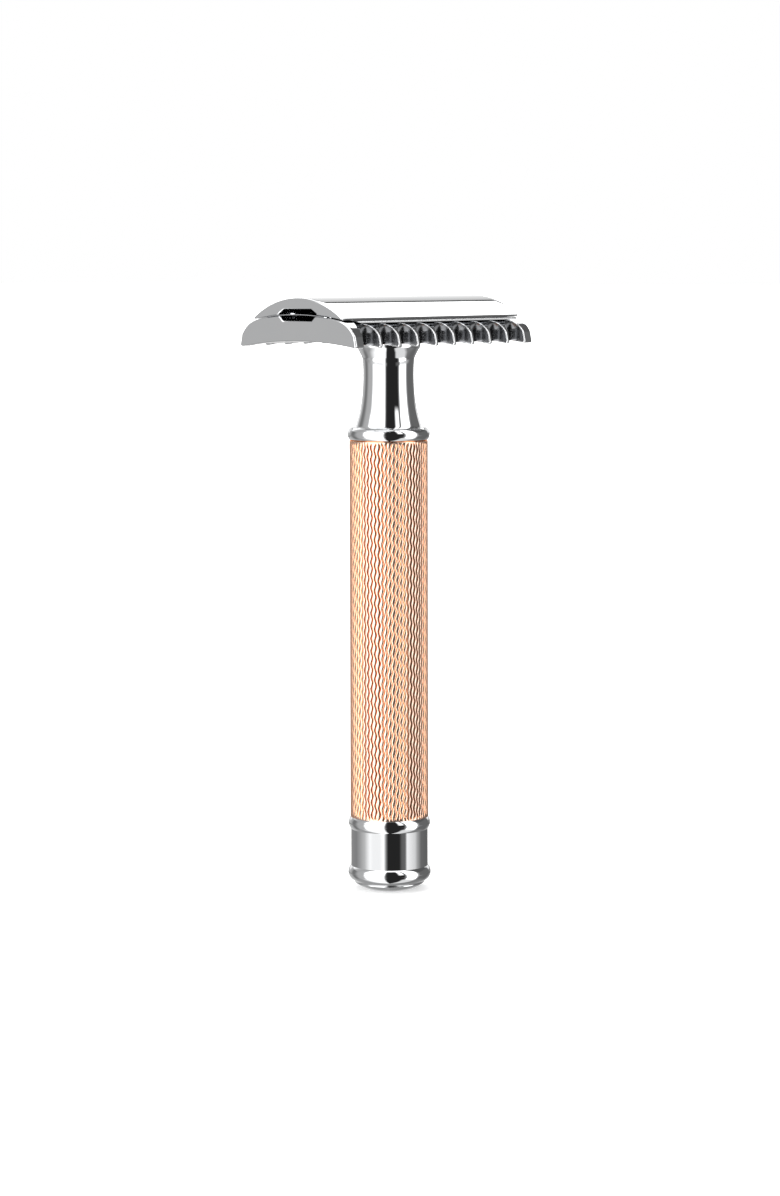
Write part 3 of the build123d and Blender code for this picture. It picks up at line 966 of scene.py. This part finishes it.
class World:
    """Short calls for adding nodes to the world."""

    def __init__(self, name):
        self.world = bpy.data.worlds.new(name)
        self.world.use_nodes = True
        self.tree = self.world.node_tree
        self.tree.nodes.clear()

    def add(self, kind, **settings):
        """A new node with its own settings made."""
        node = self.tree.nodes.new(kind)
        for key, value in settings.items():
            setattr(node, key, value)
        return node

    def math(self, operation, first, second=None):
        """One sum on values or numbers."""
        node = self.add("ShaderNodeMath", operation=operation)
        for socket, value in zip(node.inputs, (first, second)):
            if isinstance(value, (int, float)):
                socket.default_value = value
            elif value is not None:
                self.tree.links.new(value, socket)
        return node.outputs[0]

    def step(self, value, start, end):
        """0 before start and 1 after end, with a smooth change between."""
        node = self.add("ShaderNodeMapRange", interpolation_type="SMOOTHSTEP")
        node.inputs["From Min"].default_value = start
        node.inputs["From Max"].default_value = end
        self.tree.links.new(value, node.inputs["Value"])
        return node.outputs["Result"]

    def mix(self, factor, first, second):
        """First where the factor is 0, second where it is 1; either may be a brightness."""
        node = self.add("ShaderNodeMix", data_type="RGBA")
        self.tree.links.new(factor, node.inputs["Factor"])
        for socket, value in zip((node.inputs["A"], node.inputs["B"]), (first, second)):
            if isinstance(value, float):
                socket.default_value = (value, value, value, 1)
            else:
                self.tree.links.new(value, socket)
        return node.outputs["Result"]

    def ramp(self, value, stops, low, high):
        """Brightness along a value by (place, brightness) stops."""
        node = self.add("ShaderNodeValToRGB")
        share = self.math("DIVIDE", self.math("SUBTRACT", value, low), high - low)
        self.tree.links.new(share, node.inputs["Fac"])
        elements = node.color_ramp.elements
        elements.remove(elements[1])
        for i, (place, brightness) in enumerate(stops):
            position = (place - low) / (high - low)
            element = elements[0] if i == 0 else elements.new(position)
            element.position = position
            element.color = (brightness, brightness, brightness, 1)
        return node.outputs["Color"]


# Soft boxes and black flags round the object, as (bearing, brightness). A bearing is in degrees from
# the camera's side, positive to its right.
LEVEL_BAND = [
    (-180, 0.7), (-160, 0.6), (-135, 0.42), (-125, 0.19), (-114, 0.20), (-107, 0.33), (-100, 0.45),
    (-80, 0.47), (-76, 0.9), (-70, 2.0), (-60, 2.6), (-19, 2.6), (-15, 0.85), (-11, 0.10),
    (-6, 0.02), (42, 0.02), (48, 0.35), (54, 2.2), (82, 2.2), (88, 0.44), (95, 0.14),
    (140, 0.14), (153, 0.25), (170, 0.5), (180, 0.7),
]
LOW_BAND = [
    (-180, 0.35), (-144, 0.26), (-118, 0.24), (-100, 0.36), (-80, 0.55), (-61, 1.1), (-50, 1.0),
    (-30, 1.0), (-17, 1.2), (-11, 0.30), (-5, 0.02), (30, 0.02), (38, 0.12), (49, 0.15),
    (55, 1.0), (84, 0.7), (93, 0.40), (110, 0.15), (150, 0.12), (165, 0.2), (180, 0.35),
]
HIGH_BAND = [
    (-180, 2.2), (-150, 1.8), (-125, 0.50), (-107, 0.40), (-83, 0.50), (-74, 2.2), (-19, 2.2),
    (-11, 0.10), (-6, 0.02), (24, 0.02), (31, 1.5), (40, 1.5), (44, 0.10), (47, 0.10), (52, 2.2),
    (84, 2.2), (88, 0.3), (93, 0.10), (141, 0.10), (149, 2.2), (180, 2.2),
]
DEEP_BAND = [
    (-180, 0.35), (-100, 0.35), (-70, 1.2), (-17, 1.2), (-9, 0.02), (34, 0.02), (44, 0.8), (84, 0.8),
    (100, 0.20), (180, 0.30),
]
# The backdrop behind the object, as (elevation, brightness), with the dark line of its upper edge.
BACKDROP = [
    (0, 1.0), (8, 1.0), (20, 0.65), (22.0, 0.62), (22.6, 0.10), (24.8, 0.10), (25.5, 2.2), (90, 2.2),
]
OVERHEAD = 2.0
BACKDROP_BEARING = (141, 149)
BACKDROP_FOOT = (0, 5)
# Elevations over which one band gives way to the next.
LOW_BAND_TOP = (-9.5, -7.0)
LOW_BAND_FOOT = (-11.2, -13.0)
DEEP_BAND_TOP = (-28, -42)
HIGH_BAND_FOOT = (16, 24)
OVERHEAD_FOOT = (60, 74)


def make_studio():
    """The studio as a world of bands, which the camera itself sees as plain white."""
    w = World("studio")
    place = w.add("ShaderNodeTexCoord")
    turn = w.add("ShaderNodeVectorRotate", rotation_type="Z_AXIS")
    turn.inputs["Angle"].default_value = -CAMERA_AZIMUTH
    w.tree.links.new(place.outputs["Generated"], turn.inputs["Vector"])
    split = w.add("ShaderNodeSeparateXYZ")
    w.tree.links.new(turn.outputs["Vector"], split.inputs[0])
    x, y, z = split.outputs
    bearing = w.math("MULTIPLY", w.math("ARCTAN2", x, w.math("MULTIPLY", y, -1.0)), 180 / math.pi)
    rise = w.math("MULTIPLY", w.math("ARCSINE", z), 180 / math.pi)
    low, level, high, deep = (
        w.ramp(bearing, band, -180, 180) for band in (LOW_BAND, LEVEL_BAND, HIGH_BAND, DEEP_BAND)
    )
    behind = w.step(w.math("ABSOLUTE", bearing), *BACKDROP_BEARING)
    backdrop = w.ramp(rise, BACKDROP, 0, 90)
    light = w.mix(w.step(rise, *LOW_BAND_TOP), low, level)
    light = w.mix(w.step(rise, *LOW_BAND_FOOT), light, level)
    light = w.mix(w.step(rise, *DEEP_BAND_TOP), light, deep)
    light = w.mix(w.step(rise, *HIGH_BAND_FOOT), light, high)
    light = w.mix(w.math("MULTIPLY", behind, w.step(rise, *BACKDROP_FOOT)), light, backdrop)
    light = w.mix(w.step(rise, *OVERHEAD_FOOT), light, OVERHEAD)
    seen = w.add("ShaderNodeLightPath").outputs["Is Camera Ray"]
    background = w.add("ShaderNodeBackground")
    w.tree.links.new(w.mix(seen, light, 1.0), background.inputs["Color"])
    output = w.add("ShaderNodeOutputWorld")
    w.tree.links.new(background.outputs[0], output.inputs["Surface"])
    bpy.context.scene.world = w.world
    bpy.context.scene.view_settings.view_transform = "Standard"


make_camera()
make_floor()
make_studio()
